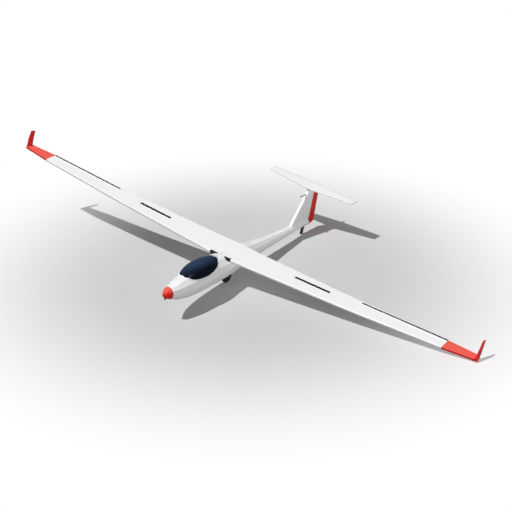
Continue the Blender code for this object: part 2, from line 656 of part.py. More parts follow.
# Lean the whole aircraft on its port tip skid, then centre it on its box
BANK = math.atan2(SKID_Z, SKID_X + 0.012)
STAND.rotation_euler = (0.0, BANK, 0.0)
bpy.context.view_layer.update()
depsgraph = bpy.context.evaluated_depsgraph_get()
corners = []
for ob in PARTS.objects:
    if ob.type == "MESH":
        seen = ob.evaluated_get(depsgraph)
        corners += [ob.matrix_world @ v.co for v in seen.data.vertices]
low = Vector([min(c[k] for c in corners) for k in range(3)])
high = Vector([max(c[k] for c in corners) for k in range(3)])
STAND.location = (-(low.x + high.x) / 2, -(low.y + high.y) / 2, -low.z)
bpy.context.view_layer.update()
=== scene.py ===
"""Looks of a single seat sailplane that is parked leaning on its port wing tip."""

import json
import logging
import math
from collections.abc import Callable, Iterable, Sequence
from dataclasses import dataclass
from enum import Enum
from functools import cache, cached_property, partial
from typing import ClassVar

import bmesh
import bpy
from bpy.types import (Material, Node, NodeInputs, NodeOutputs, NodeSocket, NodeTree, Object,
                       SunLight)
from mathutils import Matrix, Vector

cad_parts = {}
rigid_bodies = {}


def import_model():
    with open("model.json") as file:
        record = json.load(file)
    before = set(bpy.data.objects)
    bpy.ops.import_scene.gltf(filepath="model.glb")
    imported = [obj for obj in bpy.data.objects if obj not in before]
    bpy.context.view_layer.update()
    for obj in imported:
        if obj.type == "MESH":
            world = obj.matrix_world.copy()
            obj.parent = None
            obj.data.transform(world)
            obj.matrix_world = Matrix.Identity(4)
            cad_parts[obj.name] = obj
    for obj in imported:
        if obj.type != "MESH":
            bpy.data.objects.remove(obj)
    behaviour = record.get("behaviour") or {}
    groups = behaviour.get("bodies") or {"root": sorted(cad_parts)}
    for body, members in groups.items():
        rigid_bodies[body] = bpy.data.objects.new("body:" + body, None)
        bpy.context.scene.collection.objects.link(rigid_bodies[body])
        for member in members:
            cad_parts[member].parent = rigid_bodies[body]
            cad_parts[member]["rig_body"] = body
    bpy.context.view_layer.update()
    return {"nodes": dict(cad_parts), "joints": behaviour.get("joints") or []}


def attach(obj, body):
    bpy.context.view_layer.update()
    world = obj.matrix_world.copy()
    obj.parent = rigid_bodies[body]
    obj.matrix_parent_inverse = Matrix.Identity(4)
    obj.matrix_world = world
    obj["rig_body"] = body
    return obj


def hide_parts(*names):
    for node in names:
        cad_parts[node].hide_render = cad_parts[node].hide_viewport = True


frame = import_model()
LOG = logging.getLogger("sailplane")
MAIN_RADIUS = 0.180
DOUBLE = 0.00002
SPUN_SEAM = 0.0001
FLAT_ANGLE = 0.2
SIDES = {"port": 1.0, "starboard": -1.0}
ACROSS = (1.0, 0.0, 0.0)

Colour = Place = tuple[float, float, float]
Pair = tuple[float, float]
Outline = Sequence[Pair]


class Body(Enum):
    """Rigid bodies of the frame that added pieces ride on."""

    AIRFRAME = "airframe"
    MAIN_WHEEL = "main_wheel"
    TAIL_WHEEL = "tail_wheel"


class Slot(Enum):
    """Material slots of the record."""

    WHITE = "white_gelcoat"
    RED = "red_gelcoat"
    DARK = "dark_plastic"
    GREY = "grey_composite"
    FITTINGS = "fittings"
    TYRE = "tyre_rubber"
    CLOTH = "upholstery"
    GLASS = "canopy_glass"


def stand_matrix() -> Matrix:
    """Work out how the level aircraft leans, from the main wheel's axle.

    Returns:
        The matrix from the level aircraft, wheels on z = 0, to the parked one.
    """
    spin = next(j for j in frame["joints"] if j["name"] == "main_wheel_spin")
    axle = Vector(spin["axis"])
    turn = Matrix.Rotation(math.atan2(-axle.z, axle.x), 4, "Y")
    shift = Vector(spin["pos_m"]) - turn @ Vector((0.0, 0.0, MAIN_RADIUS))
    return Matrix.Translation(shift) @ turn


STAND = stand_matrix()


def both(*names: str) -> tuple[str, ...]:
    """Name the port and the starboard node of each pair."""
    return tuple(f"{name}_{side}" for name in names for side in SIDES)


# Modelling by hand


def deselect() -> None:
    """Leave edit mode and select nothing."""
    if bpy.context.object and bpy.context.object.mode != "OBJECT":
        bpy.ops.object.mode_set(mode="OBJECT")
    bpy.ops.object.select_all(action="DESELECT")


def take(ob: Object) -> Object:
    """Make one object the only selected and active one.

    Args:
        ob: The object to work on.

    Returns:
        The same object.
    """
    deselect()
    bpy.context.view_layer.objects.active = ob
    ob.select_set(True)
    return ob


def named(name: str) -> Object:
    """Name the primitive that was just added.

    Args:
        name: Piece name.

    Returns:
        The primitive.
    """
    ob = bpy.context.object
    ob.name = name
    ob.data.name = name
    return ob


def cube(name: str, low: Iterable[float], high: Iterable[float]) -> Object:
    """Add a box between two corners.

    Args:
        name: Piece name.
        low: Lowest corner.
        high: Highest corner.

    Returns:
        The new object, with its scale applied.
    """
    deselect()
    a, b = Vector(low), Vector(high)
    bpy.ops.mesh.primitive_cube_add(size=1.0, location=(a + b) / 2, scale=b - a)
    ob = named(name)
    bpy.ops.object.transform_apply(location=False, rotation=False, scale=True)
    return ob


def drum(name: str, start: Iterable[float], end: Iterable[float], radius: float,
         sides: int = 24, tip: float | None = None) -> Object:
    """Add a cylinder or a cone between two points.

    Args:
        name: Piece name.
        start: Centre of the first end.
        end: Centre of the second end.
        radius: Radius at the first end.
        sides: Number of sides.
        tip: Radius at the second end, where it differs.

    Returns:
        The new object.
    """
    deselect()
    a, b = Vector(start), Vector(end)
    turn = (b - a).to_track_quat("Z", "Y").to_euler()
    bpy.ops.mesh.primitive_cone_add(
        vertices=sides, radius1=radius, radius2=radius if tip is None else tip,
        depth=(b - a).length, location=(a + b) / 2, rotation=turn)
    return named(name)


def ring(name: str, centre: Iterable[float], along: Iterable[float], radius: float,
         thickness: float, sides: int = 32) -> Object:
    """Add a torus whose axis points along a direction.

    Args:
        name: Piece name.
        centre: Middle of the ring.
        along: Direction of its axis.
        radius: Radius to the middle of its cross-section.
        thickness: Radius of its cross-section.
        sides: Segments round the ring.

    Returns:
        The new object.
    """
    deselect()
    turn = Vector(along).to_track_quat("Z", "Y").to_euler()
    bpy.ops.mesh.primitive_torus_add(
        major_radius=radius, minor_radius=thickness, major_segments=sides,
        minor_segments=8, location=Vector(centre), rotation=turn)
    return named(name)


def edit_all(ob: Object) -> None:
    """Enter edit mode with everything selected."""
    take(ob)
    bpy.ops.object.mode_set(mode="EDIT")
    bpy.ops.mesh.select_all(action="SELECT")


def end_edit() -> None:
    """Go back to object mode."""
    bpy.ops.object.mode_set(mode="OBJECT")


def merge(ob: Object, distance: float = DOUBLE) -> None:
    """Merge doubled vertices and turn the normals outwards.

    Args:
        ob: The object.
        distance: Vertices closer than this become one.
    """
    edit_all(ob)
    bpy.ops.mesh.remove_doubles(threshold=distance)
    bpy.ops.mesh.normals_make_consistent(inside=False)
    end_edit()


def inset_cap(ob: Object, *steps: Pair) -> None:
    """Inset the second end of a drum.

    Args:
        ob: The drum.
        *steps: Thickness and depth of each inset, from the rim inwards.
    """
    edit_all(ob)
    bpy.ops.mesh.select_mode(type="FACE")
    edit = bmesh.from_edit_mesh(ob.data)
    for face in edit.faces:
        face.select_set(face.normal.z > 0.9 and len(face.verts) > 4)
    bmesh.update_edit_mesh(ob.data)
    for thickness, depth in steps:
        bpy.ops.mesh.inset(thickness=thickness, depth=depth)
    end_edit()


def modify(ob: Object, kind: str, **values: object) -> None:
    """Apply a modifier to an object.

    Args:
        ob: The object.
        kind: Type of the modifier.
        **values: Its settings.
    """
    take(ob)
    mod = ob.modifiers.new(kind, kind)
    for key, value in values.items():
        setattr(mod, key, value)
    bpy.ops.object.modifier_apply(modifier=mod.name)


def bevel(ob: Object, width: float, segments: int = 2, angle: float = 30.0) -> None:
    """Round an object's edges.

    Args:
        ob: The object.
        width: Width of the bevel.
        segments: Faces across it.
        angle: Edges sharper than this many degrees are rounded.
    """
    modify(ob, "BEVEL", width=width, segments=segments, limit_method="ANGLE",
           angle_limit=math.radians(angle))


def smooth(ob: Object, angle: float) -> None:
    """Shade an object smooth, keeping edges sharper than an angle."""
    take(ob)
    bpy.ops.object.shade_smooth_by_angle(angle=math.radians(angle))


def turned(name: str, outline: Outline, centre: Iterable[float], along: Iterable[float],
           steps: int) -> Object:
    """Spin a closed outline about an axis.

    Args:
        name: Piece name.
        outline: Closed outline as radius and place along the axis.
        centre: Middle of the axis.
        along: Direction of the axis.
        steps: Faces round the piece.

    Returns:
        The new object.
    """
    deselect()
    bpy.ops.mesh.primitive_circle_add(vertices=len(outline), radius=0.1)
    ob = named(name)
    for vert, (radius, place) in zip(ob.data.vertices, outline):
        vert.co = (radius, 0.0, place)
    edit_all(ob)
    bpy.ops.mesh.spin(steps=steps, angle=math.tau, center=(0.0, 0.0, 0.0), axis=(0.0, 0.0, 1.0))
    end_edit()
    merge(ob, SPUN_SEAM)
    ob.rotation_euler = Vector(along).to_track_quat("Z", "Y").to_euler()
    ob.location = centre
    return ob


def unite(name: str, parts: list[Object]) -> Object:
    """Join several shapes into one piece.

    Args:
        name: Name of the piece.
        parts: The shapes, which are used up.

    Returns:
        The joined object.
    """
    take(parts[0])
    for part in parts[1:]:
        part.select_set(True)
    bpy.ops.object.join()
    return named(name)


def copy_node(node: str, name: str) -> Object:
    """Copy a CAD node's mesh into a new piece and merge its vertices.

    Args:
        node: The CAD node.
        name: Piece name.

    Returns:
        The new piece.
    """
    ob = bpy.data.objects.new(name, frame["nodes"][node].data.copy())
    bpy.context.scene.collection.objects.link(ob)
    merge(ob)
    return ob


# Shader groups


class Graph:
    """A node tree with short calls to add and link nodes."""

    def __init__(self, tree: NodeTree) -> None:
        """Keep the tree that the nodes go into."""
        self.tree = tree

    def add(self, kind: str, **values: object) -> Node:
        """Add a node.

        Args:
            kind: Type of the node.
            **values: Properties, or inputs by name with spaces as underscores.

        Returns:
            The node.
        """
        node = self.tree.nodes.new(kind)
        for key, value in values.items():
            if hasattr(node, key):
                setattr(node, key, value)
            else:
                node.inputs[key.replace("_", " ")].default_value = value
        return node

    def link(self, source: NodeSocket, target: NodeSocket) -> None:
        """Link one socket to another."""
        self.tree.links.new(source, target)

    def feed(self, target: NodeSocket, value: object) -> None:
        """Link a socket to an input, or set a number or a colour on it.

        Args:
            target: The input.
            value: A socket, a number or a colour.
        """
        if isinstance(value, NodeSocket):
            self.link(value, target)
        else:
            target.default_value = (*value, 1.0) if isinstance(value, tuple) else value

    def maths(self, operation: str, a: object, b: object) -> NodeSocket:
        """Add a Math node on two values or sockets.

        Args:
            operation: What it does with them.
            a: First value.
            b: Second value.

        Returns:
            Its result.
        """
        node = self.add("ShaderNodeMath", operation=operation)
        for socket, value in zip(node.inputs, (a, b)):
            self.feed(socket, value)
        return node.outputs[0]

    def span(self, value: NodeSocket, low: float, high: float) -> NodeSocket:
        """Map a range smoothly to 0 to 1.

        Args:
            value: The value to map.
            low: What becomes 0.
            high: What becomes 1.

        Returns:
            The mapped value.
        """
        node = self.add("ShaderNodeMapRange", interpolation_type="SMOOTHSTEP",
                        From_Min=low, From_Max=high)
        self.link(value, node.inputs["Value"])
        return node.outputs["Result"]

    def blend(self, factor: object, a: object, b: object) -> NodeSocket:
        """Mix two colours or colour sockets.

        Args:
            factor: Share of the second one.
            a: First colour.
            b: Second colour.

        Returns:
            The mixed colour.
        """
        node = self.add("ShaderNodeMix", data_type="RGBA")
        for index, value in ((0, factor), (6, a), (7, b)):
            self.feed(node.inputs[index], value)
        return node.outputs[2]

    def noise(self, place: NodeSocket, scale: object, **values: float
              ) -> NodeSocket:
        """Add a noise texture.

        Args:
            place: Coordinates that it reads.
            scale: Its scale, a number or a socket.
            **values: Its other inputs.

        Returns:
            Its value.
        """
        node = self.add("ShaderNodeTexNoise", **values)
        self.link(place, node.inputs["Vector"])
        self.feed(node.inputs["Scale"], scale)
        return node.outputs["Fac"]


def group(name: str, inputs: dict[str, float], outputs: Iterable[str]
          ) -> tuple[Graph, NodeOutputs, NodeInputs]:
    """Start a shader node group with a Vector input and named sockets.

    Args:
        name: Name of the group.
        inputs: Name and default of each input that is a number.
        outputs: Name of each output.

    Returns:
        A graph on the group, and the sockets to read from and to write to.
    """
    tree = bpy.data.node_groups.new(name, "ShaderNodeTree")
    tree.interface.new_socket(name="Vector", in_out="INPUT", socket_type="NodeSocketVector")
    for label, default in inputs.items():
        tree.interface.new_socket(name=label, in_out="INPUT",
                                  socket_type="NodeSocketFloat").default_value = default
    for label in outputs:
        tree.interface.new_socket(name=label, in_out="OUTPUT", socket_type="NodeSocketFloat")
    graph = Graph(tree)
    return graph, graph.add("NodeGroupInput").outputs, graph.add("NodeGroupOutput").inputs


@cache
def edge_wear() -> NodeTree:
    """Build the group that finds rubbed edges, also on large flat faces.

    Returns:
        A group with an Edge mask.
    """
    patchy, rounded = (0.42, 0.62), (0.03, 0.20)
    g, start, end = group("edge_wear", {"Reach": 0.5, "Breakup": 30.0, "Width": 0.004}, ["Edge"])
    agree = g.add("ShaderNodeVectorMath", operation="DOT_PRODUCT")
    round_off = g.add("ShaderNodeBevel")
    g.link(start["Width"], round_off.inputs["Radius"])
    g.link(round_off.outputs["Normal"], agree.inputs[0])
    g.link(g.add("ShaderNodeNewGeometry").outputs["Normal"], agree.inputs[1])
    speckle = g.span(g.noise(start["Vector"], start["Breakup"], Detail=4.0), *patchy)
    edge = g.span(g.maths("SUBTRACT", 1.0, agree.outputs["Value"]), *rounded)
    g.link(g.maths("MULTIPLY", g.maths("MULTIPLY", edge, speckle), start["Reach"]), end["Edge"])
    return g.tree


@cache
def weathering() -> NodeTree:
    """Build the group for faint streaks, dust and a wavy gloss.

    Returns:
        A group with a Tone and a Dust mask and a Height.
    """
    lengthwise, streaky, dusty, cloud_scale = (1.0, 0.22, 1.0), (0.30, 0.72), (0.50, 0.78), 1.7
    g, start, end = group("weathering", {"Streak Scale": 3.0, "Grain Scale": 260.0},
                          ["Tone", "Dust", "Height"])
    stretch = g.add("ShaderNodeMapping", Scale=lengthwise)
    g.link(start["Vector"], stretch.inputs["Vector"])
    streak = g.noise(stretch.outputs["Vector"], start["Streak Scale"], Detail=5.0, Roughness=0.55)
    g.link(g.span(streak, *streaky), end["Tone"])
    cloud = g.noise(start["Vector"], cloud_scale, Detail=6.0, Roughness=0.65)
    g.link(g.span(cloud, *dusty), end["Dust"])
    g.link(g.noise(start["Vector"], start["Grain Scale"], Detail=2.0), end["Height"])
    return g.tree


@cache
def weave() -> NodeTree:
    """Build the group for a plain woven cloth.

    Returns:
        A group with a Thread mask and a Height.
    """
    fuzz_scale = 420.0
    g, start, end = group("weave", {"Threads": 900.0}, ["Thread", "Height"])
    waves = []
    for axis in ("X", "Y"):
        wave = g.add("ShaderNodeTexWave", bands_direction=axis, Distortion=0.6)
        g.link(start["Vector"], wave.inputs["Vector"])
        g.link(start["Threads"], wave.inputs["Scale"])
        waves.append(wave.outputs["Fac"])
    fuzz = g.noise(start["Vector"], fuzz_scale, Detail=3.0)
    g.link(fuzz, end["Thread"])
    g.link(g.maths("ADD", g.maths("MULTIPLY", *waves), fuzz), end["Height"])
    return g.tree


class Sheet:
    """One material: its tree, its Principled shader and its own coordinates."""

    def __init__(self, name: str, colour: Colour, rough: float) -> None:
        """Start the material with constants on the shader's own sockets.

        Args:
            name: Name of the material.
            colour: Its base colour.
            rough: Its roughness.
        """
        self.material = bpy.data.materials.new(name)
        self.material.use_nodes = True
        self.graph = Graph(self.material.node_tree)
        self.shader = self.material.node_tree.nodes["Principled BSDF"].inputs
        self.shader["Base Color"].default_value = (*colour, 1.0)
        self.shader["Roughness"].default_value = rough
        self.place = self.graph.add("ShaderNodeTexCoord").outputs["Object"]

    def use(self, tree: NodeTree, **values: float) -> NodeOutputs:
        """Place a shared group and feed it this material's coordinates.

        Args:
            tree: The group.
            **values: Its inputs by name, with spaces as underscores.

        Returns:
            The group's outputs.
        """
        node = self.graph.add("ShaderNodeGroup", node_tree=tree)
        self.graph.link(self.place, node.inputs["Vector"])
        for key, value in values.items():
            node.inputs[key.replace("_", " ")].default_value = value
        return node.outputs

    def relief(self, height: NodeSocket, strength: float, depth: float) -> None:
        """Feed a height through a Bump node into the normal.

        Args:
            height: The height.
            strength: Strength of the bump.
            depth: How deep a height of 1 is.
        """
        bump = self.graph.add("ShaderNodeBump", Strength=strength, Distance=depth)
        self.graph.link(height, bump.inputs["Height"])
        self.graph.link(bump.outputs["Normal"], self.shader["Normal"])


# Finishes


@dataclass(frozen=True)
class Finish:
    """A material with its record slot, its colours and how it wears.

    The class values are the layers of grime as mask and share, the scale of the
    streaks, the reach and speckle of rubbed edges, the mask, share and start
    that the roughness follows, and the strength and depth of the relief.
    """

    name: str
    slot: Slot
    colour: Colour
    # Colour of dirt; on the canopy glass it is also the painted shade.
    grime_and_shade: Colour
    worn: Colour | None = None
    rough: float = 0.5
    grain: float = 420.0
    shine: float = 0.35

    layers: ClassVar[tuple[tuple[str, float], ...]] = (("Dust", 0.12),)
    streaks: ClassVar[float] = 6.0
    edges: ClassVar[Pair | None] = (0.5, 60.0)
    dull: ClassVar[tuple[str, float, float]] = ("Tone", 0.12, -0.06)
    bump: ClassVar[Pair] = (0.25, 0.0005)

    def constants(self) -> dict[str, float]:
        """Return what is set on the shader's own sockets."""
        return {"Specular IOR Level": self.shine}

    def surface(self, sheet: Sheet, air: NodeOutputs
                ) -> tuple[object, NodeSocket]:
        """Return the clean colour and the height of the relief."""
        return self.colour, air["Height"]

    @cached_property
    def material(self) -> Material:
        """Make the material when it is first asked for.

        Returns:
            The material, the same one each time.
        """
        sheet = Sheet(self.name, self.colour, self.rough)
        for key, value in self.constants().items():
            sheet.shader[key].default_value = value
        g = sheet.graph
        air = sheet.use(weathering(), Streak_Scale=self.streaks, Grain_Scale=self.grain)
        tone, height = self.surface(sheet, air)
        for mask, share in self.layers:
            tone = g.blend(g.maths("MULTIPLY", air[mask], share), tone, self.grime_and_shade)
        if self.edges:
            reach, speckle = self.edges
            edge = sheet.use(edge_wear(), Reach=reach, Breakup=speckle)["Edge"]
            tone = g.blend(edge, tone, self.worn or self.grime_and_shade)
        g.link(tone, sheet.shader["Base Color"])
        mask, share, start = self.dull
        dulled = g.maths("ADD", g.maths("MULTIPLY", air[mask], share), self.rough + start)
        g.link(dulled, sheet.shader["Roughness"])
        sheet.relief(height, *self.bump)
        return sheet.material


@dataclass(frozen=True)
class Gelcoat(Finish):
    """Sprayed and polished composite skin, with a painted highlight on faces that look up."""

    rough: float = 0.34
    grain: float = 180.0
    shine: float = 0.12
    coat: float = 0.06
    coat_rough: float = 0.12
    # Lighter colour painted as a highlight on faces that look up, over the span of the normal's
    # height below.
    painted_highlight: Colour | None = None
    sunlit: Pair = (0.30, 0.90)

    layers = (("Tone", 0.045), ("Dust", 0.05))
    streaks = 2.6
    edges = (0.35, 24.0)
    dull = ("Dust", 0.14, 0.0)
    bump = (0.05, 0.0004)

    def constants(self) -> dict[str, float]:
        """Add the clear coat."""
        return super().constants() | {"Coat Weight": self.coat, "Coat Roughness": self.coat_rough}

    def surface(self, sheet: Sheet, air: NodeOutputs
                ) -> tuple[object, NodeSocket]:
        """Paint a lighter highlight colour on faces that look up.

        Args:
            sheet: The material.
            air: Outputs of its weathering group.

        Returns:
            The clean colour and the height of the relief.
        """
        if not self.painted_highlight:
            return super().surface(sheet, air)
        g = sheet.graph
        split = g.add("ShaderNodeSeparateXYZ")
        g.link(g.add("ShaderNodeNewGeometry").outputs["True Normal"], split.inputs[0])
        # Painted highlight: the colour turns lighter where the face looks up.
        sun = g.span(split.outputs["Z"], *self.sunlit)
        return g.blend(sun, self.colour, self.painted_highlight), air["Height"]


@dataclass(frozen=True)
class Moulded(Finish):
    """Textured dark plastic or painted composite."""


@dataclass(frozen=True)
class Alloy(Finish):
    """Machined or brushed metal with fine turning marks."""

    rough: float = 0.32
    grain: float = 900.0
    shine: float = 0.5

    layers = (("Tone", 0.5),)
    streaks = 30.0
    edges = (0.6, 90.0)
    dull = ("Tone", 0.18, -0.06)
    bump = (0.12, 0.0002)

    def constants(self) -> dict[str, float]:
        """Make it a metal."""
        return super().constants() | {"Metallic": 1.0}


@dataclass(frozen=True)
class Rubber(Finish):
    """Dusty black tyre rubber."""

    rough: float = 0.78
    grain: float = 700.0
    shine: float = 0.3

    layers = (("Dust", 0.25),)
    streaks = 14.0
    edges = (0.5, 70.0)
    dull = ("Tone", 0.14, -0.08)
    bump = (0.3, 0.0006)


@dataclass(frozen=True)
class Upholstery(Finish):
    """Woven cloth for the seat and the belts."""

    rough: float = 0.92
    grain: float = 600.0
    shine: float = 0.2
    threads: float = 900.0

    layers = (("Dust", 0.15),)
    streaks = 9.0
    edges = None
    dull = ("Tone", 0.08, -0.06)
    bump = (0.35, 0.0008)

    def constants(self) -> dict[str, float]:
        """Add the sheen of loose fibres."""
        return super().constants() | {"Sheen Weight": 0.3, "Sheen Roughness": 0.5}

    def surface(self, sheet: Sheet, air: NodeOutputs
                ) -> tuple[object, NodeSocket]:
        """Lay the threads."""
        cloth = sheet.use(weave(), Threads=self.threads)
        return sheet.graph.blend(cloth["Thread"], self.colour, self.grime_and_shade), cloth["Height"]


@dataclass(frozen=True)
class TintedGlass(Finish):
    """Dark blue canopy glazing with painted light and shade: lighter along its starboard crown,
    which faces the key light, and darker away from it.
    """

    rough: float = 0.34
    grain: float = 90.0
    shine: float = 0.05
    through: float = 0.12
    # Centre, lit direction, spread and falloff of the light and shade painted on the glass.
    middle: Place = (0.0, -1.368, 1.001)
    painted_light_towards: Place = (-0.51, 0.10, 0.854)
    reach: Pair = (-0.05, 0.30)
    slope: float = 1.25

    layers = (("Tone", 0.10),)
    streaks = 4.0
    edges = None
    dull = ("Dust", 0.08, -0.02)
    bump = (0.02, 0.0003)

    def constants(self) -> dict[str, float]:
        """Let some light through."""
        return super().constants() | {"Transmission Weight": self.through, "IOR": 1.45}

    def surface(self, sheet: Sheet, air: NodeOutputs
                ) -> tuple[object, NodeSocket]:
        """Paint light and shade on the tint, lighter along the crown towards the key light.

        Args:
            sheet: The material.
            air: Outputs of its weathering group.

        Returns:
            The clean colour and the height of the relief.
        """
        g = sheet.graph
        # Painted light and shade: the tint runs from the dark colour to the lit one towards the
        # key light's side.
        way = STAND.to_3x3() @ Vector(self.painted_light_towards)
        start = way.dot(STAND @ Vector(self.middle))
        height = g.add("ShaderNodeVectorMath", operation="DOT_PRODUCT")
        g.link(sheet.place, height.inputs[0])
        height.inputs[1].default_value = way
        share = g.span(height.outputs["Value"], *(start + edge for edge in self.reach))
        crown = g.maths("POWER", share, self.slope)
        return g.blend(crown, self.grime_and_shade, self.colour), air["Height"]


class Paint(Enum):
    """Every finish of the aircraft."""

    WHITE = Gelcoat("white_gelcoat", Slot.WHITE, (0.945, 0.945, 0.948), (0.66, 0.65, 0.62),
                    (0.96, 0.96, 0.96))
    # Red gelcoat; its last colour is the painted highlight on faces that look up.
    RED = Gelcoat("red_gelcoat", Slot.RED, (0.780, 0.030, 0.026), (0.60, 0.08, 0.06),
                  (0.88, 0.22, 0.19), 0.36, shine=0.05, coat=0.04, painted_highlight=(0.890, 0.132, 0.098))
    NAVY = Moulded("dark_composite", Slot.DARK, (0.011, 0.015, 0.023), (0.040, 0.048, 0.060),
                   rough=0.55, shine=0.10)
    LEGS = Moulded("leg_paint", Slot.DARK, (0.018, 0.022, 0.030), (0.14, 0.14, 0.14), rough=0.42)
    STRUT = Moulded("strut_paint", Slot.DARK, (0.085, 0.110, 0.150), (0.22, 0.24, 0.27),
                    rough=0.45)
    TAPE = Moulded("sealing_tape", Slot.WHITE, (0.93, 0.93, 0.93), (0.82, 0.82, 0.80),
                   rough=0.40, grain=160.0)
    BLUE = Moulded("blue_knob", Slot.FITTINGS, (0.02, 0.09, 0.42), (0.10, 0.18, 0.50), rough=0.35)
    GREEN = Moulded("green_knob", Slot.FITTINGS, (0.02, 0.28, 0.07), (0.10, 0.40, 0.14),
                    rough=0.35)
    YELLOW = Moulded("yellow_knob", Slot.FITTINGS, (0.80, 0.52, 0.02), (0.85, 0.62, 0.15),
                     rough=0.35)
    GREY = Moulded("cockpit_composite", Slot.GREY, (0.36, 0.37, 0.39), (0.52, 0.52, 0.52),
                   rough=0.6, grain=260.0)
    PANEL = Moulded("panel_finish", Slot.DARK, (0.020, 0.020, 0.022), (0.09, 0.09, 0.09),
                    rough=0.62, grain=600.0)
    SEAL = Moulded("seal_rubber", Slot.DARK, (0.012, 0.012, 0.013), (0.05, 0.05, 0.05), rough=0.7)
    DIAL = Moulded("dial_face", Slot.DARK, (0.015, 0.015, 0.016), (0.05, 0.05, 0.05), rough=0.3,
                   grain=900.0)
    MARK = Moulded("dial_marks", Slot.DARK, (0.75, 0.75, 0.72), (0.8, 0.8, 0.8))
    STEEL = Alloy("machined_alloy", Slot.FITTINGS, (0.56, 0.57, 0.59), (0.4032, 0.4104, 0.4248),
                  (0.70, 0.7125, 0.7375))
    BRIGHT = Alloy("bright_screws", Slot.FITTINGS, (0.66, 0.66, 0.67), (0.4752, 0.4752, 0.4824),
                   (0.825, 0.825, 0.8375), 0.26)
    RUBBER = Rubber("tyre_rubber", Slot.TYRE, (0.014, 0.014, 0.016), (0.11, 0.10, 0.09))
    CLOTH = Upholstery("seat_cloth", Slot.CLOTH, (0.055, 0.060, 0.075), (0.12, 0.13, 0.15))
    BELT = Upholstery("belt_webbing", Slot.CLOTH, (0.03, 0.035, 0.055), (0.07, 0.08, 0.11),
                      threads=1500.0)
    # Its second colour is the painted shade on the glass away from the key light, and also its
    # streak colour.
    GLASS = TintedGlass("canopy_glass", Slot.GLASS, (0.040, 0.070, 0.126), (0.003, 0.006, 0.014))


# Sub-assemblies


def dress(ob: Object, paint: Paint, angle: float | None = None,
          body: str = Body.AIRFRAME.value, level: bool = True) -> Object:
    """Finish a piece: shading, place, material and body.

    Args:
        ob: The piece.
        paint: Its finish.
        angle: Edges sharper than this many degrees stay sharp, if it is shaded smooth.
        body: CAD body that it moves with.
        level: The piece is still in the level aircraft's space.

    Returns:
        The same piece.
    """
    if angle:
        smooth(ob, angle)
    if level:
        bpy.context.view_layer.update()
        ob.data.transform(STAND @ ob.matrix_world)
        ob.matrix_world = Matrix.Identity(4)
        ob.data.update()
    ob.data.materials.clear()
    ob.data.materials.append(paint.value.material)
    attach(ob, body)
    LOG.info("%s rides on %s with %s", ob.name, body, paint.value.name)
    return ob


def skin(node: str, paint: Paint, angle: float, round_edges: float = 0.0) -> Object:
    """Stand a merged, smoothly shaded copy in for a CAD node.

    Args:
        node: The CAD node.
        paint: Its finish.
        angle: Edges sharper than this many degrees stay sharp.
        round_edges: Width of the bevel on those edges, or none.

    Returns:
        The copy, which replaces the node.
    """
    ob = copy_node(node, node + "_skin")
    edit_all(ob)
    bpy.ops.mesh.dissolve_limited(angle_limit=math.radians(FLAT_ANGLE))
    end_edit()
    if round_edges:
        bevel(ob, round_edges, 2, angle)
    smooth(ob, angle)
    modify(ob, "WEIGHTED_NORMAL", keep_sharp=True, mode="FACE_AREA")
    dress(ob, paint, body=frame["nodes"][node]["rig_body"], level=False)
    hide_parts(node)
    return ob


@dataclass
class Shells:
    """Fuselage, wing and tail skins that stand in for the CAD nodes."""

    facet_angle: float = 6.0
    panel_angle: float = 12.0
    dark_angle: float = 30.0
    faceted: tuple[str, ...] = ("cockpit_shell", "tail_boom", "centre_fuselage")
    white: tuple[str, ...] = (*both("wing_panel", "aileron"), "fin", "tailplane", "elevator")
    red: tuple[str, ...] = (*both("wing_tip", "winglet"), "rudder")
    dark: tuple[str, ...] = both("airbrake", "tip_skid", "root_vent")
    overlap: float = 1.5

    def build(self) -> None:
        """Make and dress every skin."""
        for nodes, paint, angle in ((self.faceted, Paint.WHITE, self.facet_angle),
                                    (("nose_cap",), Paint.RED, self.facet_angle),
                                    (self.white, Paint.WHITE, self.panel_angle),
                                    (self.red, Paint.RED, self.panel_angle),
                                    (self.dark, Paint.NAVY, self.dark_angle)):
            for node in nodes:
                skin(node, paint, angle)
        for node in both("aileron_strip"):
            self.widen(skin(node, Paint.NAVY, self.dark_angle))

    def widen(self, ob: Object) -> None:
        """Let a strip overlap its gap on both sides.

        Args:
            ob: The strip, whose short edges run across the gap.
        """
        verts = ob.data.vertices
        level = STAND.inverted().to_3x3()
        moves = []
        for edge in ob.data.edges:
            first, last = (verts[i] for i in edge.vertices)
            across = level @ (last.co - first.co)
            if abs(across.y) > abs(across.x) + abs(across.z):
                extra = (last.co - first.co) * (self.overlap - 1.0) / 2.0
                moves += [(first, -extra), (last, extra)]
        for vert, move in moves:
            vert.co += move
        ob.data.update()


@dataclass
class Canopy:
    """Bubble glazing and its frame."""

    glass_angle: float = 40.0
    frame_angle: float = 30.0

    def build(self) -> None:
        """Dress the glass and the frame."""
        skin("canopy", Paint.GLASS, self.glass_angle)
        skin("canopy_frame", Paint.WHITE, self.frame_angle)


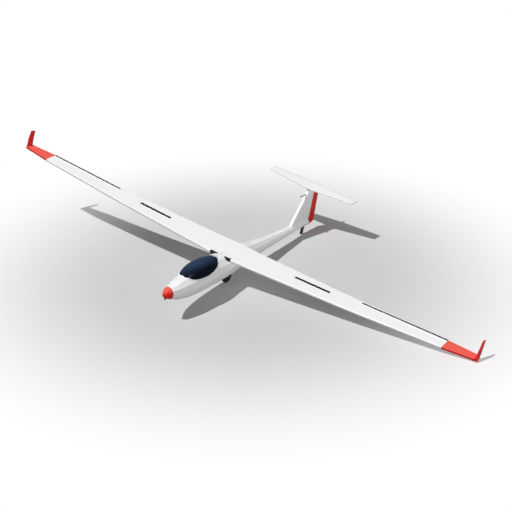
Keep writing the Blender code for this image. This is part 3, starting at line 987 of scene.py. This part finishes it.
@dataclass
class Undercarriage:
    """Belly wheel, tail wheel, their legs and axles, and the tow hook."""

    centre: Place = (0.0, 0.0, MAIN_RADIUS)
    tail_centre: Place = (0.0, 3.815, 0.074)
    crown: float = 0.1780
    crown_curve: float = 4.0
    grooves: tuple[float, ...] = (-0.018, 0.0, 0.018)
    groove_depth: float = 0.005
    groove_top: float = 0.0045
    groove_foot: float = 0.003
    side: Outline = (
        (0.1100, 0.034), (0.122, 0.045), (0.140, 0.0495), (0.159, 0.045), (0.1700, 0.036),
        (0.1750, 0.026))
    tail_side: Outline = (
        (0.0401, 0.015), (0.056, 0.0215), (0.066, 0.018), (0.0725, 0.009), (0.0737, 0.003),
        (0.0715, 0.002))
    tyre_angle: float = 38.0
    round_angle: float = 35.0
    edge: float = 0.002
    bolt_circle: float = 0.040
    bolt_radius: float = 0.0055
    bolt_height: float = 0.005
    hub_face: float = 0.0462
    valve: tuple[Place, Place] = ((0.044, 0.0, -0.078), (0.053, 0.0, -0.082))
    eye: Place = (0.0, -0.478, 0.270)
    eye_along: Place = (0.35, 1.0, 0.0)
    eye_radius: float = 0.016
    eye_wire: float = 0.003

    def tyre(self, wheel: str, side: Outline, middle: Outline,
             centre: Place, body: Body, steps: int) -> None:
        """Spin a tyre about its axle.

        Args:
            wheel: Which wheel it belongs to.
            side: Radius and place along the axle, from the rim to the tread.
            middle: The tread between both sides.
            centre: Middle of the wheel, level.
            body: Body that it turns with.
            steps: Faces round the wheel.
        """
        outline = [*((r, -x) for r, x in side), *middle, *reversed(side)]
        ob = turned(f"{wheel}_tyre_rubber", outline, centre, ACROSS, steps)
        dress(ob, Paint.RUBBER, self.tyre_angle, body.value)
        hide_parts(f"{wheel}_tyre")

    def build(self) -> None:
        """Make the tyres and dress the rest."""
        tread: list[Pair] = []
        for z in self.grooves:
            top = self.crown - self.crown_curve * z * z
            foot = top - self.groove_depth
            tread += [(top, z - self.groove_top), (foot, z - self.groove_foot),
                      (foot, z + self.groove_foot), (top, z + self.groove_top)]
        self.tyre("main", self.side, tread, self.centre, Body.MAIN_WHEEL, 56)
        self.tyre("tail", self.tail_side, [], self.tail_centre, Body.TAIL_WHEEL, 40)
        for node, paint in (("main_hub", Paint.LEGS), ("tail_hub", Paint.STEEL),
                            ("main_axle", Paint.STEEL), ("tail_axle", Paint.STEEL)):
            skin(node, paint, self.round_angle)
        for node, paint, angle in (("main_leg_port", Paint.LEGS, 25.0),
                                   ("main_leg_starboard", Paint.LEGS, 25.0),
                                   ("tail_leg", Paint.STRUT, 25.0),
                                   ("tow_hook", Paint.STEEL, 30.0)):
            skin(node, paint, angle, self.edge)
        eyelet = ring("tow_ring", self.eye, self.eye_along, self.eye_radius, self.eye_wire, 28)
        dress(eyelet, Paint.BRIGHT, 60.0)
        self.bolts()

    def bolts(self) -> None:
        """Add the rim bolts on both faces of the belly wheel's hub, and its valve."""
        parts = []
        middle = self.centre[2]
        for side in (-1.0, 1.0):
            for k in range(6):
                a = math.tau * k / 6
                y, z = self.bolt_circle * math.sin(a), middle + self.bolt_circle * math.cos(a)
                x = side * self.hub_face
                bolt = drum("bolt", (x, y, z), (x + side * self.bolt_height, y, z),
                            self.bolt_radius, 6)
                bevel(bolt, 0.0008, 1)
                parts.append(bolt)
        ends = [Vector(self.centre) + Vector(end) for end in self.valve]
        valve = drum("valve", *ends, 0.0035, 10, 0.0028)
        bevel(valve, 0.0006, 1)
        heads = unite("main_hub_bolts", [*parts, valve])
        dress(heads, Paint.BRIGHT, body=Body.MAIN_WHEEL.value)


@dataclass
class Cockpit:
    """Seat, cushions, belts, panel, stick, levers and pedals under the canopy."""

    dials: tuple[Place, ...] = (
        (-0.085, 0.965, 0.036), (0.0, 0.975, 0.036), (0.085, 0.965, 0.036),
        (-0.055, 0.875, 0.026), (0.055, 0.875, 0.026))
    panel_face: float = -1.970
    bezel: Pair = (0.0005, 0.009)
    bezel_rim: float = 0.14
    bezel_step: Pair = (0.0004, -0.004)
    ticks: int = 9
    tick: Pair = (0.0052, 0.0058)
    tick_half: float = 0.0008
    tick_reach: float = 0.72
    first_tick: float = -120.0
    tick_turn: float = 30.0
    needle_reach: float = 0.6
    needle_rise: float = 0.0066
    first_needle: float = -70.0
    needle_turn: float = 47.0
    boss: Pair = (0.005, 0.0078)
    boss_radius: float = 0.0028
    cushions:tuple[tuple[str, float, float], ...] = (
        ("seat_cushion", 0.006, 0.008), ("headrest", 0.005, 0.007))
    coarse_voxel: float = 0.009
    fine_voxel: float = 0.006
    pressure: float = 4.0
    cloth_steps: int = 20
    belt_width: float = 0.045
    belt_thickness: float = 0.0016
    lap_across: Place = (0.0, 0.90, 0.40)
    lap: tuple[Place, ...] = (
        (0.185, -1.225, 0.575), (0.150, -1.265, 0.625), (0.095, -1.315, 0.640),
        (0.030, -1.345, 0.632))
    shoulder: tuple[Place, ...] = (
        (0.060, -0.905, 1.010), (0.072, -0.965, 0.985), (0.080, -1.030, 0.905),
        (0.085, -1.130, 0.785), (0.075, -1.240, 0.660), (0.050, -1.310, 0.600))
    hand_levers: tuple[tuple[str, Place, Paint], ...] = (
        ("airbrake_lever", (0.308, -1.500, 0.760), Paint.BLUE),
        ("trim_lever", (0.284, -1.640, 0.700), Paint.GREEN))
    lever_plate: tuple[Place, Place] = ((-0.012, -0.060, -0.016), (0.0, 0.060, 0.016))
    lever_arm: tuple[Place, Place] = ((-0.008, 0.0, 0.0), (-0.052, -0.018, 0.022))
    lever_grip: tuple[Place, Place] = ((-0.047, -0.045, 0.022), (-0.057, 0.022, 0.022))
    knob_side: Pair = (0.095, 0.835)
    stem_length: float = 0.040
    knob_rise: float = 0.038
    knob: Outline = (
        (0.0005, 0.0), (0.010, 0.0), (0.0165, 0.006), (0.0165, 0.011), (0.010, 0.017),
        (0.0005, 0.017))
    buckle: Outline = (
        (0.0005, 0.0), (0.030, 0.0), (0.034, 0.003), (0.034, 0.009), (0.029, 0.013),
        (0.012, 0.013), (0.010, 0.016), (0.0005, 0.016))
    buckle_middle: Place = (0.0, -1.348, 0.624)
    buckle_along: Place = (0.0, 0.65, 0.75)
    stick_foot: Place = (0.0, -1.8085, 0.456)
    stick_along: Place = (0.0, 0.106, 0.994)
    stick_grip: tuple[Place, Place] = ((0.0, -1.7718, 0.690), (0.0, -1.7585, 0.812))
    boot_folds: int = 8
    boot_fold: float = 0.006
    boot_flare: float = 0.052
    boot_curve: float = 1.4
    boot_neck: float = 0.0175
    boot_bore: float = 0.0145
    boot_foot: float = 0.004
    boot_height: float = 0.090
    boot_wall: float = 0.003

    def cushion(self, node: str, shrink: float, cap: float) -> None:
        """Swell a stuffed cushion out of a CAD solid.

        Args:
            node: The CAD node that gives its space.
            shrink: How far the start shape sits inside the node.
            cap: The most that a point may move.
        """
        ob = copy_node(node, node + "_cloth")
        edit_all(ob)
        bpy.ops.transform.shrink_fatten(value=-shrink)
        end_edit()
        modify(ob, "REMESH", mode="VOXEL",
               voxel_size=self.fine_voxel)
        self.stuff(ob, cap)
        modify(ob, "SMOOTH", iterations=4)
        dress(ob, Paint.CLOTH, 80.0, frame["nodes"][node]["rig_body"], level=False)
        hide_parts(node)

    def stuff(self, ob: Object, cap: float) -> None:
        """Blow a cushion up with a cloth simulation.

        Args:
            ob: The cushion.
            cap: The most that a point may move.
        """
        start = [v.co.copy() for v in ob.data.vertices]
        cloth = ob.modifiers.new("stuffing", "CLOTH")
        cloth.settings.use_pressure = True
        cloth.settings.uniform_pressure_force = self.pressure
        cloth.settings.effector_weights.gravity = 0.0
        for step in range(1, self.cloth_steps + 1):
            bpy.context.scene.frame_set(step)
        take(ob)
        bpy.ops.object.modifier_apply(modifier=cloth.name)
        for vert, place in zip(ob.data.vertices, start):
            move = vert.co - place
            if move.length > cap:
                vert.co = place + move.normalized() * cap
        bpy.context.scene.frame_set(1)

    def strap(self, name: str, points: list[Place], across: Place) -> None:
        """Lay a flat belt along points.

        Args:
            name: Piece name.
            points: Places along the middle of the belt, level.
            across: Direction of its width.
        """
        deselect()
        bpy.ops.mesh.primitive_grid_add(x_subdivisions=len(points) - 1, y_subdivisions=1, size=1.0)
        ob = named(name)
        side = Vector(across).normalized() * self.belt_width / 2
        rows: dict[float, list[int]] = {}
        for vert in ob.data.vertices:
            rows.setdefault(round(vert.co.x, 4), []).append(vert.index)
        for point, key in zip(points, sorted(rows)):
            a, b = sorted(rows[key], key=lambda i: ob.data.vertices[i].co.y)
            ob.data.vertices[a].co = Vector(point) - side
            ob.data.vertices[b].co = Vector(point) + side
        modify(ob, "SUBSURF", levels=2, render_levels=2)
        modify(ob, "SOLIDIFY", thickness=self.belt_thickness, offset=0.0)
        dress(ob, Paint.BELT, 45.0)

    def instrument(self, index: int, x: float, z: float, radius: float) -> None:
        """Add one round instrument to the panel.

        Args:
            index: Number of the instrument.
            x: Place across the panel.
            z: Height of its centre.
            radius: Radius of its bezel.
        """
        y, half = self.panel_face, self.tick_half
        name = f"instrument_{index}"
        back, front = (y + rise for rise in self.bezel)
        bezel = drum(name, (x, back, z), (x, front, z), radius, 32)
        inset_cap(bezel, (radius * self.bezel_rim, 0.0), self.bezel_step)
        bevel(bezel, 0.0009, 2)
        dress(bezel, Paint.DIAL, 35.0)
        marks = []
        back, front = (y + rise for rise in self.tick)
        reach = radius * self.tick_reach
        for k in range(self.ticks):
            a = math.radians(self.first_tick + self.tick_turn * k)
            cx, cz = x + reach * math.sin(a), z + reach * math.cos(a)
            marks.append(cube("tick", (cx - half, back, cz - half),
                              (cx + half, front, cz + half)))
        a = math.radians(self.first_needle + self.needle_turn * index)
        reach, over = radius * self.needle_reach, y + self.needle_rise
        tip = (x + reach * math.sin(a), over, z + reach * math.cos(a))
        marks.append(drum("needle", (x, over, z), tip, 0.0011, 8, 0.0003))
        back, front = (y + rise for rise in self.boss)
        marks.append(drum("boss", (x, back, z), (x, front, z), self.boss_radius, 12))
        dress(unite(name + "_needle", marks), Paint.MARK)

    def gaiter(self) -> None:
        """Add the folded boot round the foot of the stick."""
        outer, inner = [], []
        for k in range(self.boot_folds + 1):
            up = k / self.boot_folds
            fold = self.boot_fold if k % 2 else 0.0
            radius = (self.boot_flare * (1.0 - up) ** self.boot_curve + self.boot_neck
                      + fold * (1.0 - up))
            place = self.boot_foot + self.boot_height * up
            outer.append((radius, place))
            inner.append((max(self.boot_bore, radius - self.boot_wall), place - 0.001))
        boot = turned("stick_gaiter", outer + inner[::-1], self.stick_foot, self.stick_along, 32)
        dress(boot, Paint.SEAL, 50.0)

    def levers(self) -> None:
        """Add the hand levers on the port wall, the release knob and the buckle."""
        for name, foot, paint in self.hand_levers:
            plate_ends, arm_ends, grip_ends = (
                [Vector(foot) + Vector(end) for end in ends]
                for ends in (self.lever_plate, self.lever_arm, self.lever_grip))
            plate = cube(name + "_plate", *plate_ends)
            bevel(plate, 0.003, 2)
            arm = drum(name + "_arm", *arm_ends, 0.0055, 14)
            bevel(arm, 0.001, 1)
            dress(unite(name, [plate, arm]), Paint.LEGS)
            grip = drum(name + "_knob", *grip_ends, 0.0105, 16, 0.0130)
            bevel(grip, 0.0035, 3)
            dress(grip, paint, 45.0)
        x, z = self.knob_side
        face = self.panel_face
        stem = drum("release_stem", (x, face, z), (x, face + self.stem_length, z), 0.004, 12)
        bevel(stem, 0.0006, 1)
        dress(stem, Paint.BRIGHT)
        knob = turned("release_knob", self.knob, (x, face + self.knob_rise, z),
                      (0.0, 1.0, 0.0), 28)
        dress(knob, Paint.YELLOW, 50.0)
        buckle = turned("belt_buckle", self.buckle, self.buckle_middle, self.buckle_along, 32)
        dress(buckle, Paint.BRIGHT, 40.0)

    def build(self) -> None:
        """Make the whole cockpit."""
        skin("seat_pan", Paint.GREY, 30.0, 0.004)
        skin("instrument_panel", Paint.PANEL, 30.0, 0.006)
        skin("rudder_pedals", Paint.STEEL, 30.0, 0.003)
        skin("control_stick", Paint.LEGS, 35.0)
        for node, shrink, cap in self.cushions:
            self.cushion(node, shrink, cap)
        for index, (x, z, radius) in enumerate(self.dials):
            self.instrument(index, x, z, radius)
        grip = drum("stick_grip", *self.stick_grip, 0.0185, 20, 0.021)
        inset_cap(grip, (0.006, 0.004))
        bevel(grip, 0.003, 3)
        dress(grip, Paint.SEAL, 40.0)
        self.gaiter()
        self.levers()
        for label, side in SIDES.items():
            for name, points, across in (("lap_belt_", self.lap, self.lap_across),
                                         ("shoulder_belt_", self.shoulder, ACROSS)):
                self.strap(name + label, [(side * x, y, z) for x, y, z in points], across)


@dataclass
class Seals:
    """White tapes over the hinge gaps and the wing root seams."""

    thick: float = 0.0005
    plane_top: float = 1.6030
    fin_side: float = 0.0230
    hinge: Outline = ((0.500, 4.0688), (1.470, 4.1352))
    root: tuple[Place, ...] = (
        (0.284, 1.0756, 1.0762), (0.300, 1.0762, 1.0768), (0.316, 1.0766, 1.0772))

    def strip(self, name: str, low: Place, high: Place,
              shift: Callable[[Vector], Vector] | None = None) -> None:
        """Lay one flat tape.

        Args:
            name: Piece name.
            low: Lowest corner, level.
            high: Highest corner, level.
            shift: Where each corner moves, on a slanted or folded tape.
        """
        ob = cube(name, low, high)
        middle = ob.location.copy()
        ob.location = (0.0, 0.0, 0.0)
        for vert in ob.data.vertices:
            place = vert.co + middle
            vert.co = shift(place) if shift else place
        ob.data.update()
        dress(ob, Paint.TAPE)

    def slant(self, place: Vector) -> Vector:
        """Follow the rudder's hinge line.

        Args:
            place: A corner of the tape.

        Returns:
            Where it moves.
        """
        (z0, y0), (z1, y1) = self.hinge
        back = y0 + (y1 - y0) * (place.z - z0) / (z1 - z0)
        return Vector((place.x, place.y + back, place.z))

    def fold(self, part: int, place: Vector) -> Vector:
        """Follow the wing's flat top over one half of the seam.

        Args:
            part: Which half.
            place: A corner of the tape.

        Returns:
            Where it moves.
        """
        (xa, low_a, high_a), (xb, low_b, high_b) = self.root[part:part + 2]
        share = (abs(place.x) - xa) / (xb - xa)
        low, high = low_a + (low_b - low_a) * share, high_a + (high_b - high_a) * share
        return Vector((place.x, place.y, high if place.z > 0.5 else low))

    def build(self) -> None:
        """Lay every tape."""
        for label, side in SIDES.items():
            inner, outer = sorted((side * 0.006, side * 1.425))
            self.strip("elevator_tape_" + label, (inner, 4.058, self.plane_top - self.thick),
                       (outer, 4.090, self.plane_top))
            near, far = sorted((side * self.fin_side, side * (self.fin_side + self.thick)))
            foot, head = self.hinge[0][0], self.hinge[1][0]
            self.strip("rudder_tape_" + label, (near, -0.040, foot), (far, -0.004, head),
                       self.slant)
            for part in range(2):
                left, right = sorted((side * self.root[part][0], side * self.root[part + 1][0]))
                self.strip(f"root_tape_{label}_{part}", (left, -0.452, 0.0), (right, 0.405, 1.0),
                           partial(self.fold, part))


@dataclass
class Probes:
    """Nose pitot and the fin probe with its ring."""

    nodes: tuple[str, ...] = ("pitot_probe", "tail_probe")
    angle: float = 35.0

    def build(self) -> None:
        """Dress both probes."""
        for node in self.nodes:
            skin(node, Paint.NAVY, self.angle)


@dataclass
class Studio:
    """Pale floor that fades to white, sky light, sun and camera."""

    eye: Place = (18.5569, -25.4059, 16.0813)
    azimuth: float = 34.639
    elevation: float = 25.919
    focal_px: float = 1281.29
    frame_px: float = 512.0
    sensor: float = 36.0
    far_clip: float = 300.0
    sun_from: Place = (-0.248, -0.641, 1.0)
    sun_power: float = 2.83
    sun_blur: float = 0.022
    fill_from: Place = (0.87, 0.0, 0.50)
    fill_power: float = 1.20
    fill_colour: Colour = (0.99, 0.995, 1.015)
    sky: float = 0.030
    floor_radius: float = 60.0
    floor_colour: Colour = (0.622, 0.622, 0.622)
    bounce_colour: Colour = (0.33, 0.33, 0.33)
    fade: Pair = (2.9, 9.6)
    glow: float = 0.40

    def floor_material(self) -> Material:
        """Make the floor's material.

        Returns:
            A matt grey that fades to plain white away from the aircraft.
        """
        material = bpy.data.materials.new("studio_floor")
        material.use_nodes = True
        g = Graph(material.node_tree)
        material.node_tree.nodes.remove(material.node_tree.nodes["Principled BSDF"])
        reach = g.add("ShaderNodeVectorMath", operation="LENGTH")
        g.link(g.add("ShaderNodeTexCoord").outputs["Object"], reach.inputs[0])
        seen = g.add("ShaderNodeLightPath").outputs["Is Camera Ray"]
        share = g.maths("MULTIPLY", g.span(reach.outputs["Value"], *self.fade), seen)
        matt = g.add("ShaderNodeBsdfDiffuse")
        g.link(g.blend(seen, self.bounce_colour, self.floor_colour), matt.inputs["Color"])
        glow = g.add("ShaderNodeEmission")
        g.link(g.maths("MULTIPLY", share, self.glow), glow.inputs["Strength"])
        both_shaders = g.add("ShaderNodeAddShader")
        g.link(matt.outputs[0], both_shaders.inputs[0])
        g.link(glow.outputs[0], both_shaders.inputs[1])
        g.link(both_shaders.outputs[0],
               material.node_tree.nodes["Material Output"].inputs["Surface"])
        return material

    def build(self) -> None:
        """Add the floor, the lights and the camera."""
        deselect()
        bpy.ops.mesh.primitive_circle_add(vertices=96, radius=self.floor_radius, fill_type="NGON")
        floor = named("floor")
        floor.data.materials.append(self.floor_material())
        world = bpy.data.worlds.new("sky")
        bpy.context.scene.world = world
        world.use_nodes = True
        g = Graph(world.node_tree)
        sky = world.node_tree.nodes["Background"]
        sky.inputs["Color"].default_value = (1.0, 1.0, 1.0, 1.0)
        seen = g.add("ShaderNodeLightPath").outputs["Is Camera Ray"]
        g.link(g.maths("ADD", g.maths("MULTIPLY", seen, 1.0 - self.sky), self.sky),
               sky.inputs["Strength"])
        key = self.lamp("key_light", self.sun_from, self.sun_power)
        key.angle = self.sun_blur
        fill = self.lamp("fill_light", self.fill_from, self.fill_power)
        fill.color = self.fill_colour
        fill.use_shadow = False
        self.camera()
        bpy.context.scene.view_settings.view_transform = "Standard"

    def lamp(self, name: str, source: Place, power: float) -> SunLight:
        """Add a distant lamp.

        Args:
            name: Name of the lamp.
            source: Direction that its light comes from.
            power: Strength.

        Returns:
            The lamp's light data.
        """
        turn = Vector(source).to_track_quat("Z", "Y").to_euler()
        bpy.ops.object.light_add(type="SUN", rotation=turn, location=(0.0, 0.0, 8.0))
        lamp = bpy.context.object
        lamp.name = name
        lamp.data.energy = power
        return lamp.data

    def camera(self) -> None:
        """Add the camera at the photograph's viewing angle."""
        az, el = math.radians(self.azimuth), math.radians(self.elevation)
        back = Vector((math.sin(az) * math.cos(el), -math.cos(az) * math.cos(el), math.sin(el)))
        bpy.ops.object.camera_add(location=Vector(self.eye) + STAND.translation,
                                  rotation=(-back).to_track_quat("-Z", "Y").to_euler())
        eye = bpy.context.object
        eye.data.sensor_width = self.sensor
        eye.data.lens = self.focal_px / self.frame_px * self.sensor
        eye.data.clip_end = self.far_clip
        bpy.context.scene.camera = eye


def main() -> None:
    """Build the classes in order."""
    logging.basicConfig(level=logging.INFO, format="%(message)s")
    for part in (Shells(), Canopy(), Undercarriage(), Cockpit(), Seals(), Probes(), Studio()):
        part.build()
        LOG.info("%s is built", type(part).__name__)
    deselect()


if __name__ == "__main__":
    main()
